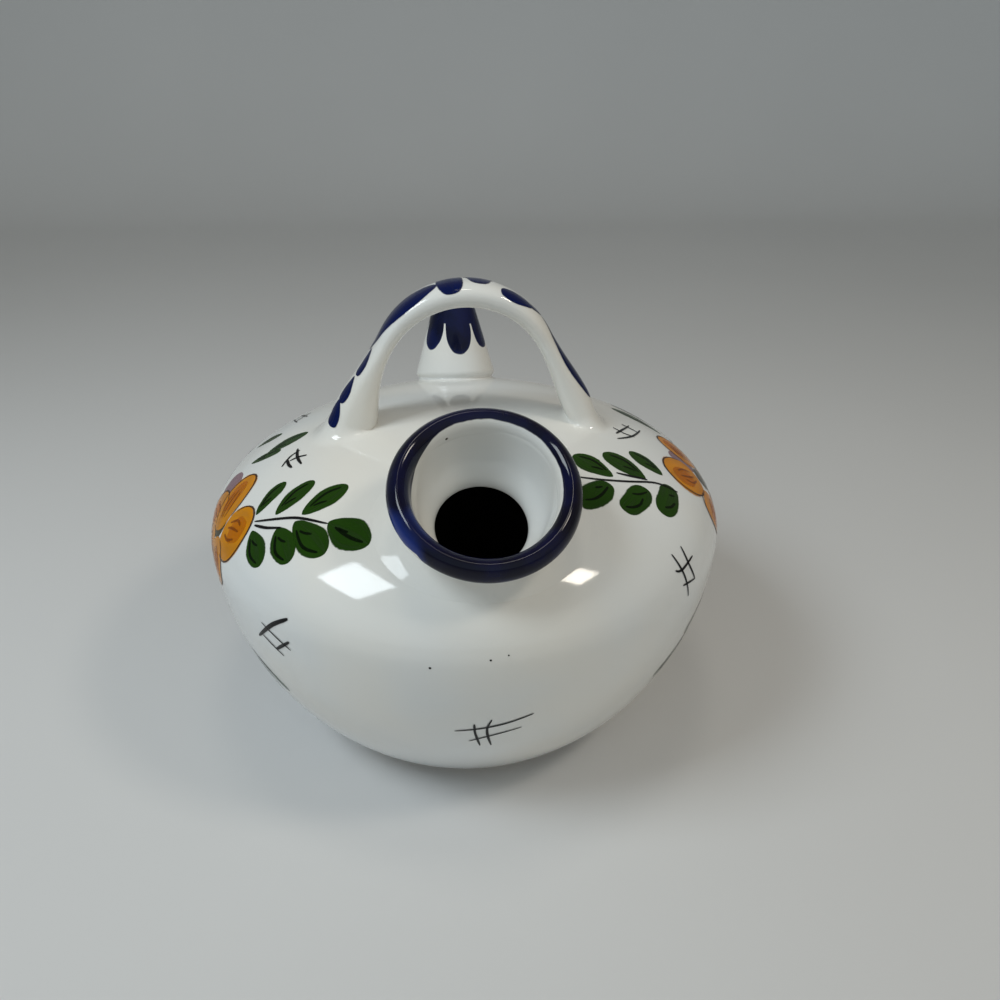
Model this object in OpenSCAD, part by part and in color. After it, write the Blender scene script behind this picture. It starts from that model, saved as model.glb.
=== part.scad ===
// Double-spout water jug in glazed earthenware.
// Millimetres, +Z up, origin at the middle of the face that it stands on.
// The mouth leans towards -Y, the drinking spout towards +Y, and the handle arches from -X to +X.

/* [Body] */
// Widest diameter of the body
body_d = 170; // [150:1:210]
// Height of the widest line above the surface the jug stands on
belt_z = 70; // [62:1:80]
// Rise of the dome above the widest line
dome_rise = 35; // [30:1:45]
// Fullness of the dome's shoulder, where 2 is an ellipse
dome_fullness = 2.1; // [1.9:0.05:2.4]
// Depth that the bowl's curve would reach below the standing surface if the foot didn't cut it off
bowl_tail = 24; // [16:1:34]
// Fullness of the bowl's belly, where 2 is an ellipse
bowl_fullness = 1.9; // [1.75:0.05:2.2]
// Wall thickness of the bowl and the dome
wall = 5; // [4:0.5:7]

/* [Foot] */
// Distance of the foot ring's outer face inside the lower edge of the bowl
foot_inset = 4.5; // [2:0.5:9]
// Height of the foot ring
foot_h = 4; // [2.5:0.5:6]
// Width of the ring's band
foot_band = 8; // [6:0.5:12]
// Thickness of the base disc
base_t = 5; // [4:0.5:8]

/* [Mouth] */
// Distance of the mouth's middle inside the widest line
mouth_inset = 30; // [26:0.5:34]
// Lean of the mouth away from upright, in degrees
mouth_tilt = 32; // [24:1:38]
// Height of the neck, from the dome to the seat of the lip
neck_h = 13.5; // [10:0.5:20]
// Outer diameter of the neck at its waist
neck_d = 39; // [36:0.5:44]
// Diameter of the throat
throat_d = 26; // [22:0.5:28]
// Depth of the throat's lower edge below the dome's outer face
throat_drop = 5; // [4:0.5:7]
// Straight length of the throat
throat_len = 6; // [4:0.5:8]
// Diameter of the hole in the dome that takes the neck's spigot
socket_d = 34; // [32:0.5:35]
// Outer diameter of the lip
lip_d = 50.5; // [48:0.5:56]
// Thickness of the rolled lip
lip_t = 6.4; // [5.5:0.1:7.5]
// Height of the lip above its seat on the neck
lip_h = 5.2; // [4:0.1:5.4]
// Reach of the luting from the neck across the dome
mouth_luting_w = 5.5; // [4:0.5:7]

/* [Spout] */
// Distance of the spout's middle inside the widest line
spout_inset = 29.5; // [25:0.5:42]
// Lean of the spout away from upright, in degrees
spout_tilt = 10; // [5:1:25]
// Length of the spout along its axis
spout_len = 34; // [26:1:46]
// Outer diameter of the spout where it meets the dome
spout_base_d = 32; // [28:0.5:36]
// Outer diameter of the spout's tip
spout_tip_d = 12.5; // [10:0.5:15]
// Diameter of the outlet
outlet_d = 5; // [3:0.5:6]
// Straight length of the outlet
outlet_len = 9; // [5:0.5:14]
// Diameter of the hole in the dome below the spout
spout_hole_d = 18; // [14:0.5:21]
// Reach of the luting from the spout across the dome
spout_luting_w = 3; // [2:0.5:5]

/* [Handle] */
// Half distance between the middles of the strap's feet
handle_half_span = 38.5; // [34:0.5:43]
// Height of the strap's middle line at the crown, above the dome's top
handle_rise = 40; // [35:0.5:52]
// Radius of the crown of the arch
crown_r = 28; // [24:0.5:30]
// Radius of the arch along each leg
leg_r = 165; // [120:5:200]
// Width of the strap at the crown, front to back
strap_w = 12.5; // [10:0.5:16]
// Thickness of the strap at the crown
strap_t = 6; // [5:0.5:9]
// Width of the strap at its feet, front to back
strap_foot_w = 17; // [14:0.5:21]
// Thickness of the strap at its feet
strap_foot_t = 15; // [10:0.5:18]
// Height above the feet over which the strap narrows
strap_taper = 27; // [20:1:32]
// Reach of the luting from the strap across the dome
handle_luting_w = 4; // [3:0.5:6]

/* [Hidden] */

$fn = 96;
// Points along each quarter curve
curve_steps = 18;
// Reach of a cutting shape past what it cuts
over = 40;
glaze = [0.93, 0.93, 0.9];
cobalt = [0.04, 0.06, 0.28];
bare_clay = [0.85, 0.72, 0.56];

body_r = body_d / 2;
mouth_out = body_r - mouth_inset;
spout_out = body_r - spout_inset;
bowl_depth = belt_z + bowl_tail;
base_top = foot_h + base_t;
handle_top_z = belt_z + dome_rise + handle_rise;
socket_r = socket_d / 2;
neck_r = neck_d / 2;
throat_r = throat_d / 2;
lip_ring_r = (lip_d - lip_t) / 2;
lip_mid_z = neck_h + lip_h - lip_t / 2;
lip_seat_half = sqrt(pow(lip_t / 2, 2) - pow(lip_mid_z - neck_h, 2));
funnel_r = lip_ring_r - lip_seat_half;

// Quarter of a superellipse, from its widest point to its end on the axis
function quarter(r, h, n) = [for (i = [0 : curve_steps])
    let (a = 90 * i / curve_steps) [r * pow(cos(a), 2 / n), h * pow(sin(a), 2 / n)]];
// The same list, last point first
function reversed(list) = [for (i = [len(list) - 1 : -1 : 0]) list[i]];

// Radius of the bowl's outer face at a height
function bowl_r(z) = body_r * pow(1 - pow((belt_z - z) / bowl_depth, bowl_fullness), 1 / bowl_fullness);
// Height of the dome's outer face at a distance from the jug's axis
function dome_z(r) = belt_z + dome_rise * pow(1 - pow(r / body_r, dome_fullness), 1 / dome_fullness);
// Point of the dome's outer face at a distance from the jug's axis
function on_face(r) = [r, dome_z(r)];

// The handle's arch: a crown arc and two leg arcs that run into it without a kink
crown_mid = [0, handle_top_z - crown_r];
strap_foot = [handle_half_span, dome_z(handle_half_span)];
foot_reach = norm(strap_foot - crown_mid);
foot_angle = atan2(strap_foot[1] - crown_mid[1], strap_foot[0]);
leg_gap = leg_r - crown_r;
leg_turn = acos((pow(foot_reach, 2) + pow(leg_gap, 2) - pow(leg_r, 2)) / (2 * foot_reach * leg_gap));
arch_join = foot_angle - leg_turn + 180;
leg_mid = crown_mid - leg_gap * [cos(arch_join), sin(arch_join)];
leg_foot_angle = asin((strap_foot[1] - leg_mid[1]) / leg_r);
// Degrees of each leg's arc that lie inside the dome
leg_tail = 8;
leg_steps = 12;
crown_steps = 14;

// Points of the arch, each as [x, z, direction of its outer side], from the right foot to the left
right_leg = [for (i = [0 : leg_steps - 1])
    let (a = leg_foot_angle - leg_tail + (arch_join - leg_foot_angle + leg_tail) * i / leg_steps)
    [leg_mid[0] + leg_r * cos(a), leg_mid[1] + leg_r * sin(a), a]];
crown = [for (i = [0 : crown_steps])
    let (a = arch_join + (180 - 2 * arch_join) * i / crown_steps)
    [crown_r * cos(a), crown_mid[1] + crown_r * sin(a), a]];
left_leg = [for (p = reversed(right_leg)) [-p[0], p[1], 180 - p[2]]];

// The strap's cross-section, a rounded oblong that grows from the crown's size to the feet's
section_steps = 16;
section_fullness = 2.6;
function rounded(x) = sign(x) * pow(abs(x), 2 / section_fullness);
function growth(z) = pow(max(0, 1 - max(0, z - strap_foot[1]) / strap_taper), 2);
function strap_section(z) = let (k = growth(z),
                                 t = strap_t + (strap_foot_t - strap_t) * k,
                                 w = strap_w + (strap_foot_w - strap_w) * k)
    [for (i = [0 : section_steps - 1])
        let (a = 360 * i / section_steps) [t / 2 * rounded(cos(a)), w / 2 * rounded(sin(a))]];

// Puts its children at a place on the dome, with +Z leaning outwards by a tilt, towards an azimuth
module on_dome(out, tilt, azimuth) {
    rotate([0, 0, azimuth]) translate([0, -out, dome_z(out)]) rotate([tilt, 0, 0]) children();
}
module at_mouth() { on_dome(mouth_out, mouth_tilt, 0) children(); }
module at_spout() { on_dome(spout_out, spout_tilt, 180) children(); }

// Everything inside the dome's outer face, down to the widest line and a little below it
module dome_fill() {
    translate([0, 0, belt_z]) rotate_extrude()
        polygon(concat(quarter(body_r, dome_rise, dome_fullness), [[0, -over], [body_r, -over]]));
}

// Bevel of luting at 45 degrees round a piece of radius r that stands on the dome, reaching w across it.
// Its middle and its lean come from the dome on both sides of the piece, and its ends lie inside both.
module luting(out, tilt, azimuth, r, w) {
    sunk = w;
    risen = 1.5 * w;
    inner = on_face(out - r * cos(tilt));
    outer = on_face(out + r * cos(tilt));
    middle = (inner + outer) / 2;
    lean = atan2(inner[1] - outer[1], outer[0] - inner[0]);
    rotate([0, 0, azimuth]) translate([0, -middle[0], middle[1]]) rotate([lean, 0, 0])
        translate([0, 0, -sunk]) cylinder(h = sunk + risen, r1 = r + w + sunk, r2 = r + w - risen);
}

module foot_ring() {
    foot_r = bowl_r(foot_h) - foot_inset;
    color(bare_clay) difference() {
        cylinder(h = foot_h, r = foot_r);
        translate([0, 0, -over]) cylinder(h = 2 * over, r = foot_r - foot_band);
    }
}

// The bowl between two heights, solid or with its hollow
module bowl_band(low, high, hollow) {
    translate([0, 0, belt_z]) mirror([0, 0, 1]) rotate_extrude() intersection() {
        difference() {
            polygon(concat(quarter(body_r, bowl_depth, bowl_fullness), [[0, 0]]));
            if (hollow) polygon(concat(quarter(body_r - wall, bowl_depth - wall, bowl_fullness), [[0, 0]]));
        }
        translate([0, belt_z - high]) square([body_r, high - low]);
    }
}

module base_disc() { color(glaze) bowl_band(foot_h, base_top, false); }
module lower_bowl() { color(glaze) bowl_band(base_top, belt_z, true); }

module upper_dome() {
    color(glaze) difference() {
        translate([0, 0, belt_z]) rotate_extrude()
            polygon(concat(quarter(body_r, dome_rise, dome_fullness),
                           reversed(quarter(body_r - wall, dome_rise - wall, dome_fullness))));
        at_mouth() translate([0, 0, -over / 2]) cylinder(h = over, r = socket_r);
        at_spout() translate([0, 0, -over / 2]) cylinder(h = over, d = spout_hole_d);
    }
}

// The neck with its bore filled, as far down as the socket holds it
module neck_fill() {
    waist_z = neck_h / 2;
    seat_r = lip_ring_r + lip_seat_half;
    rotate_extrude() polygon([[0, -throat_drop], [neck_r, -throat_drop], [neck_r, waist_z],
                              [seat_r, neck_h], [0, neck_h]]);
}

// The throat and the funnel above it
module neck_bore() {
    throat_top = throat_len - throat_drop;
    rotate_extrude() polygon([[0, -over], [throat_r, -over], [throat_r, throat_top], [funnel_r, neck_h],
                              [funnel_r, neck_h + over], [0, neck_h + over]]);
}

module mouth_neck() {
    color(glaze) difference() {
        at_mouth() neck_fill();
        difference() {
            dome_fill();
            at_mouth() translate([0, 0, -over / 2]) cylinder(h = over, r = socket_r);
        }
        at_mouth() neck_bore();
    }
}

module mouth_lip() {
    color(cobalt) at_mouth() rotate_extrude() intersection() {
        translate([lip_ring_r, lip_mid_z]) circle(d = lip_t);
        translate([0, neck_h]) square([lip_d, lip_t]);
    }
}

module mouth_luting() {
    color(glaze) difference() {
        luting(mouth_out, mouth_tilt, 0, neck_r, mouth_luting_w);
        dome_fill();
        at_mouth() translate([0, 0, -over]) cylinder(h = 2 * over, r = neck_r);
    }
}

// The spout's cone with its bore filled
module spout_fill(from_z) {
    slope = (spout_base_d - spout_tip_d) / 2 / spout_len;
    translate([0, 0, from_z])
        cylinder(h = spout_len - from_z, r1 = spout_base_d / 2 - slope * from_z, r2 = spout_tip_d / 2);
}

// The way from the dome's hole through the spout to its outlet
module spout_bore() {
    hole_r = spout_hole_d / 2;
    outlet_r = outlet_d / 2;
    rotate_extrude() polygon([[0, -over], [hole_r, -over], [hole_r, 0], [outlet_r, spout_len - outlet_len],
                              [outlet_r, spout_len + over], [0, spout_len + over]]);
}

module drinking_spout() {
    color(glaze) difference() {
        at_spout() spout_fill(-wall);
        dome_fill();
        at_spout() spout_bore();
    }
}

module spout_luting() {
    color(glaze) difference() {
        luting(spout_out, spout_tilt, 180, spout_base_d / 2, spout_luting_w);
        dome_fill();
        at_spout() spout_fill(-over / 2);
    }
}

// The strap with its feet running on into the dome
module strap_fill() {
    arch = concat(right_leg, crown, left_leg);
    n = section_steps;
    points = [for (p = arch, q = strap_section(p[1])) [p[0] + q[0] * cos(p[2]), q[1], p[1] + q[0] * sin(p[2])]];
    sides = [for (i = [0 : len(arch) - 2], k = [0 : n - 1])
        let (near = i * n, far = near + n, next = (k + 1) % n)
        each [[near + k, far + k, far + next], [near + k, far + next, near + next]]];
    ends = [[for (k = [0 : n - 1]) k], [for (k = [n - 1 : -1 : 0]) (len(arch) - 1) * n + k]];
    polyhedron(points, concat(sides, ends), convexity = 4);
}

module handle_strap() {
    color(glaze) difference() {
        strap_fill();
        dome_fill();
    }
}

// Luting round the strap's right foot
module strap_foot_luting() {
    difference() {
        luting(handle_half_span, leg_foot_angle, 90, (strap_foot_w + strap_foot_t) / 4, handle_luting_w);
        dome_fill();
        strap_fill();
    }
}

module handle_luting_left() { color(glaze) mirror([1, 0, 0]) strap_foot_luting(); }
module handle_luting_right() { color(glaze) strap_foot_luting(); }

foot_ring();
base_disc();
lower_bowl();
upper_dome();
mouth_neck();
mouth_lip();
mouth_luting();
drinking_spout();
spout_luting();
handle_strap();
handle_luting_left();
handle_luting_right();
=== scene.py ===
"""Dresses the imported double-spout water jug and sets it in a plain studio.

The glazed body, the mouth, the spout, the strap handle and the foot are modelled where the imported
solids are, and the brushwork lies on the glaze as thin films of pigment. Lengths are metres in the
part's own frame: +Z is up, the mouth leans to -Y, the spout leans to +Y, the handle spans X.
"""

from __future__ import annotations

import logging
import math
import random
from abc import ABC, abstractmethod
from bisect import bisect
from dataclasses import dataclass, field
from enum import Enum
from functools import cached_property
from typing import Any, Iterable, Mapping, Sequence

import bmesh
import bpy
from mathutils import Matrix, Vector

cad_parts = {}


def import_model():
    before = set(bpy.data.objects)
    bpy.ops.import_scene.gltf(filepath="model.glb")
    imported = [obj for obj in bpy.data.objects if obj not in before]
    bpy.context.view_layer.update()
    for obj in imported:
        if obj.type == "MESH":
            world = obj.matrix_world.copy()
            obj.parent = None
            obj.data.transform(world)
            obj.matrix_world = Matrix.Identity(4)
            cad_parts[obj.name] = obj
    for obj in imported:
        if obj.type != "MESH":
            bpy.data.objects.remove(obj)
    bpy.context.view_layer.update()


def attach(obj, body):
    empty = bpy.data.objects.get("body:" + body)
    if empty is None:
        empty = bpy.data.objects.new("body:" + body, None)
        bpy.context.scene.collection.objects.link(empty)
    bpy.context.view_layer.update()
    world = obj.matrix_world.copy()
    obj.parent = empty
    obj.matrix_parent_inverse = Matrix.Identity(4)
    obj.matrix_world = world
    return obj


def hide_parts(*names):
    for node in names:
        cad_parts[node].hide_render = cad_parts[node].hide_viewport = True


MM = 0.001
SHARP = math.radians(40)  # bevels ease the edges that bend by more than this
BODY = "root"
Colour = tuple[float, float, float]
Spot = tuple[float, float]
Ring = list[Vector]
log = logging.getLogger("jug")


class Slot(Enum):
    """The record's material slots."""

    GLAZE = "white_glaze"
    COBALT = "cobalt_glaze"
    CLAY = "bare_clay"


class Pigment(Enum):
    """Colours that the painter dips the brush in, as red, green, blue and cover."""

    LEAF = (0.013, 0.046, 0.0025, 0.98)
    VEIN = (0.002, 0.007, 0.001, 0.92)
    LINE = (0.004, 0.004, 0.005, 0.96)
    PETAL = (0.60, 0.225, 0.003, 0.95)
    EMBER = (0.56, 0.155, 0.002, 0.5)
    FLAME = (0.26, 0.065, 0.004, 0.7)
    OUTLINE = (0.05, 0.022, 0.010, 0.88)
    MAUVE = (0.26, 0.14, 0.17, 0.75)
    HEART = (0.055, 0.042, 0.014, 0.93)
    COBALT = (0.0025, 0.0075, 0.060, 0.98)


class Touch(Enum):
    """Outlines that one touch of the brush leaves."""

    OVAL = "oval"
    LEAF = "leaf"
    DROP = "drop"
    LINE = "line"

    def half_width(self, along: float) -> float:
        """Share of the stroke's full half width at a share of its length.

        Args:
            along: Place on the stroke, from 0 at its start to 1 at its end.

        Returns:
            A share from 0 to 1.
        """
        swell = math.sin(math.pi * min(1.0, max(0.0, along)))
        if self is Touch.OVAL:
            return math.sqrt(max(0.0, 1 - (2 * along - 1) ** 2))
        if self is Touch.LEAF:
            return max(0.0, math.sin(math.pi * along**1.25)) ** 0.66
        if self is Touch.DROP:
            return max(0.0, math.sin(math.pi * along**0.7)) ** 0.72
        return 0.35 + 0.65 * swell**0.5


# Shaders


class Value:
    """One number in a shader. Arithmetic on it adds Math nodes."""

    def __init__(self, graph: Graph, socket: bpy.types.NodeSocket) -> None:
        """Wraps a socket of a graph."""
        self.graph = graph
        self.socket = socket

    def _math(self, operation: str, *values: Value | float) -> Value:
        """Adds one Math node on the values given."""
        node = self.graph.node("ShaderNodeMath", {"operation": operation}, dict(enumerate(values)))
        return Value(self.graph, node.outputs[0])

    def __add__(self, other: Value | float) -> Value:
        """This plus other."""
        return self._math("ADD", self, other)

    def __radd__(self, other: float) -> Value:
        """A number plus this."""
        return self._math("ADD", other, self)

    def __sub__(self, other: Value | float) -> Value:
        """This minus other."""
        return self._math("SUBTRACT", self, other)

    def __rsub__(self, other: float) -> Value:
        """A number minus this."""
        return self._math("SUBTRACT", other, self)

    def __mul__(self, other: Value | float) -> Value:
        """This times other."""
        return self._math("MULTIPLY", self, other)

    def __rmul__(self, other: float) -> Value:
        """A number times this."""
        return self._math("MULTIPLY", other, self)

    def __truediv__(self, other: Value | float) -> Value:
        """This divided by other."""
        return self._math("DIVIDE", self, other)

    def __pow__(self, other: Value | float) -> Value:
        """This to the power of other."""
        return self._math("POWER", self, other)

    def __abs__(self) -> Value:
        """This without its sign."""
        return self._math("ABSOLUTE", self)

    def cosine(self) -> Value:
        """The cosine of this angle."""
        return self._math("COSINE", self)

    def angle_to(self, other: Value) -> Value:
        """The angle of the direction (other, this)."""
        return self._math("ARCTAN2", self, other)

    def largest(self, other: Value | float) -> Value:
        """The larger of this and other."""
        return self._math("MAXIMUM", self, other)

    def ramp(self, low: float, high: float) -> Value:
        """A smooth step of this.

        Args:
            low: Where it is still 0.
            high: Where it has reached 1.

        Returns:
            The step.
        """
        node = self.graph.node(
            "ShaderNodeMapRange",
            {"interpolation_type": "SMOOTHSTEP"},
            {"Value": self, "From Min": low, "From Max": high},
        )
        return Value(self.graph, node.outputs["Result"])


class Graph:
    """The nodes of one tree."""

    def __init__(self, tree: bpy.types.NodeTree) -> None:
        """Starts with an empty tree."""
        self.tree = tree
        self.tree.nodes.clear()

    def node(self, kind: str, settings: Mapping[str, Any], inputs: Mapping[Any, Any]) -> bpy.types.Node:
        """Adds one node.

        Args:
            kind: The node's type name.
            settings: Properties to set before the sockets.
            inputs: Values, sockets or links by socket name or number.

        Returns:
            The new node.
        """
        made = self.tree.nodes.new(kind)
        for name, setting in settings.items():
            setattr(made, name, setting)
        for name, given in inputs.items():
            self.feed(made.inputs[name], given)
        return made

    def feed(self, socket: bpy.types.NodeSocket, given: Any) -> None:
        """Links or sets one socket.

        Args:
            socket: The socket of a node in this tree.
            given: A value or a socket to link, or a number, colour or vector to set.
        """
        if isinstance(given, Value):
            given = given.socket
        if isinstance(given, bpy.types.NodeSocket):
            self.tree.links.new(given, socket)
        elif isinstance(given, tuple) and len(given) == 3 and socket.type == "RGBA":
            socket.default_value = (*given, 1.0)
        else:
            socket.default_value = given

    def place(self) -> bpy.types.NodeSocket:
        """Object coordinates."""
        return self.node("ShaderNodeTexCoord", {}, {}).outputs["Object"]

    def parts(self, vector: Any) -> tuple[Value, Value, Value]:
        """The three numbers of a vector."""
        split = self.node("ShaderNodeSeparateXYZ", {}, {0: vector})
        return tuple(Value(self, split.outputs[k]) for k in range(3))

    def local(self, stand: Stand) -> tuple[Value, Value, Value]:
        """Object coordinates as seen from a stand on the dome.

        Args:
            stand: The stand.

        Returns:
            The three coordinates.
        """
        turned = self.node(
            "ShaderNodeMapping",
            {"vector_type": "TEXTURE"},
            {"Vector": self.place(), "Location": tuple(stand.middle), "Rotation": (stand.lean, 0.0, 0.0)},
        )
        return self.parts(turned.outputs[0])

    def noise(self, vector: Any, size: float, detail: float = 2.0) -> Value:
        """Soft noise.

        Args:
            vector: Where it is read.
            size: Size of its features.
            detail: How much finer noise is added to it.

        Returns:
            The noise, from 0 to 1.
        """
        made = self.node(
            "ShaderNodeTexNoise",
            {"noise_dimensions": "3D"},
            {"Vector": vector, "Scale": 1 / size, "Detail": detail},
        )
        return Value(self, made.outputs[0])

    def mix(
        self, first: Any, second: Any, share: Value | float, blend: str = "MIX"
    ) -> bpy.types.NodeSocket:
        """A colour between two colours."""
        settings = {"data_type": "RGBA", "blend_type": blend}
        return self.node("ShaderNodeMix", settings, {0: share, 6: first, 7: second}).outputs[2]

    def bump(self, height: Value, depth: float) -> bpy.types.NodeSocket:
        """A normal from a height of 0 to 1 that stands for a depth in metres."""
        made = self.node("ShaderNodeBump", {}, {"Strength": 1.0, "Distance": depth, "Height": height})
        return made.outputs[0]


class Finish(Graph):
    """The nodes of one material, round a Principled shader."""

    def __init__(self, name: str) -> None:
        """Starts a material with its shader only.

        Args:
            name: The material's name.
        """
        self.material = bpy.data.materials.new(name)
        self.material.use_nodes = True
        super().__init__(self.material.node_tree)
        self.shader = self.node("ShaderNodeBsdfPrincipled", {}, {})
        self.node("ShaderNodeOutputMaterial", {}, {"Surface": self.shader.outputs[0]})

    def dress(self, **inputs: Any) -> bpy.types.Material:
        """Feeds the shader, with _ for a space in socket names, and gives the material."""
        for name, given in inputs.items():
            self.feed(self.shader.inputs[name.replace("_", " ")], given)
        return self.material


@dataclass(frozen=True)
class Glaze:
    """Off-white glossy glaze with slow unevenness, a fine peel and a few iron specks."""

    name: str = "white_glaze"
    warm: Colour = (0.80, 0.775, 0.715)
    cool: Colour = (0.75, 0.765, 0.76)
    speck: Colour = (0.05, 0.035, 0.025)
    gloss: tuple[float, float] = (0.05, 0.11)
    cloud_size: float = 0.055
    swell_size: float = 0.03
    swell_depth: float = 0.00025
    peel_size: float = 0.0025
    peel_depth: float = 0.000008
    speck_spacing: float = 0.024
    speck_radius: float = 0.00042
    speck_share: float = 0.72
    speck_cover: float = 0.85
    gloss_size: float = 0.012

    def white(self, graph: Graph) -> bpy.types.NodeSocket:
        """The glaze's own colour, with its specks.

        Args:
            graph: The material's nodes.

        Returns:
            The colour.
        """
        place = graph.place()
        cloud = graph.noise(place, self.cloud_size).ramp(0.3, 0.7)
        white = graph.mix(self.cool, self.warm, cloud)
        cells = graph.node(
            "ShaderNodeTexVoronoi", {"feature": "F1"}, {"Vector": place, "Scale": 1 / self.speck_spacing}
        )
        near = Value(graph, cells.outputs["Distance"]) * self.speck_spacing
        pick = graph.node("ShaderNodeSeparateColor", {}, {0: cells.outputs["Color"]})
        chosen = Value(graph, pick.outputs[0]).ramp(self.speck_share, self.speck_share + 0.02)
        size = self.speck_radius * (0.4 + 0.6 * Value(graph, pick.outputs[1]))
        dot = (1 - (near / size).ramp(0.7, 1.1)) * chosen
        return graph.mix(white, self.speck, dot * self.speck_cover)

    def gloss_of(self, graph: Graph) -> Value:
        """Roughness that wanders a little."""
        low, high = self.gloss
        return low + (high - low) * graph.noise(graph.place(), self.gloss_size, detail=3.0)

    def skin(self, graph: Graph) -> bpy.types.NodeSocket:
        """The slow unevenness and the fine peel of a fired glaze.

        Args:
            graph: The material's nodes.

        Returns:
            The normal.
        """
        place = graph.place()
        slow = graph.noise(place, self.swell_size, detail=0.0)
        fine = graph.noise(place, self.peel_size, detail=1.0)
        return graph.bump(slow + (self.peel_depth / self.swell_depth) * fine, self.swell_depth)

    def dress(self, graph: Finish, colour: bpy.types.NodeSocket, **others: Any) -> bpy.types.Material:
        """Gives a material its colour, and the gloss and unevenness of this glaze.

        Args:
            graph: The material's nodes.
            colour: Its colour.
            others: What else its shader is fed.

        Returns:
            The material.
        """
        rough, skin = self.gloss_of(graph), self.skin(graph)
        return graph.dress(Base_Color=colour, Roughness=rough, Normal=skin, **others)

    def material(self) -> bpy.types.Material:
        """The plain white glaze."""
        graph = Finish(self.name)
        return self.dress(graph, self.white(graph))


@dataclass(frozen=True)
class ShellGlaze:
    """White glaze outside the turned shell, and bare clay inside it, painted near black as painted shade for
    the unlit inside of the closed body.

    Attributes:
        form: The shell's outline.
        name: The material's name.
        inside: Colour of the clay inside, near black: the clay with painted shade for the body's unlit
            inside.
        depth: Share of the outline at which the clay gives way to the glaze.
        blur: Half the width of that edge, as a share.
        seam: Half the height over which the bowl's curve passes into the dome's.
        floor: Heights between which the base's glaze gives way to the clay.
        matt: How much rougher the clay is.
        glaze: The glaze.
    """

    form: JugForm
    name: str = "shell_glaze"
    # Painted shade: the clay inside is made near black for the unlit inside of the body, far darker than bare
    # clay.
    inside: Colour = (0.010, 0.008, 0.006)
    depth: float = 0.93
    blur: float = 0.01
    seam: float = 0.0005
    floor: tuple[float, float] = (0.006, 0.008)
    matt: float = 0.6
    glaze: Glaze = field(default_factory=Glaze)

    def material(self) -> bpy.types.Material:
        """The glaze, told from the inside's clay in painted shade by the depth below the shell's outline."""
        graph, form = Finish(self.name), self.form
        across, along, height = graph.parts(graph.place())
        reach = (across * across + along * along) ** 0.5 / form.radius
        away = abs(height - form.belt)
        dome = reach**form.dome_fullness + (away / form.rise) ** form.dome_fullness
        bowl = reach**form.bowl_fullness + (away / form.depth) ** form.bowl_fullness
        depth = bowl + (dome - bowl) * (height - form.belt).ramp(-self.seam, self.seam)
        glazed = depth.ramp(self.depth - self.blur, self.depth + self.blur)
        # Painted shade: where the shell's inside shows, its clay takes the near-black colour that stands for
        # the unlit inside.
        painted_inside_shade = (1 - glazed) * height.ramp(*self.floor)
        colour = graph.mix(self.glaze.white(graph), self.inside, painted_inside_shade)
        rough = self.glaze.gloss_of(graph) + painted_inside_shade * self.matt
        return graph.dress(Base_Color=colour, Roughness=rough, Normal=self.glaze.skin(graph))


@dataclass(frozen=True)
class Cobalt:
    """Deep cobalt over the glaze, lighter where it ran thin."""

    deep: Colour = (0.0007, 0.0009, 0.009)
    body: Colour = (0.0016, 0.0028, 0.030)
    thin: Colour = (0.012, 0.032, 0.20)
    index: float = 1.36
    cloud_size: float = 0.011

    def blue(self, graph: Graph, thinning: Value) -> bpy.types.NodeSocket:
        """The colour of the cobalt.

        Args:
            graph: The material's nodes.
            thinning: From 0 where it is thick to 1 where it is thin.

        Returns:
            The colour.
        """
        cloud = graph.noise(graph.place(), self.cloud_size, detail=3.0)
        pooled = graph.mix(self.deep, self.body, cloud.ramp(0.35, 0.62))
        return graph.mix(pooled, self.thin, thinning)


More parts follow.
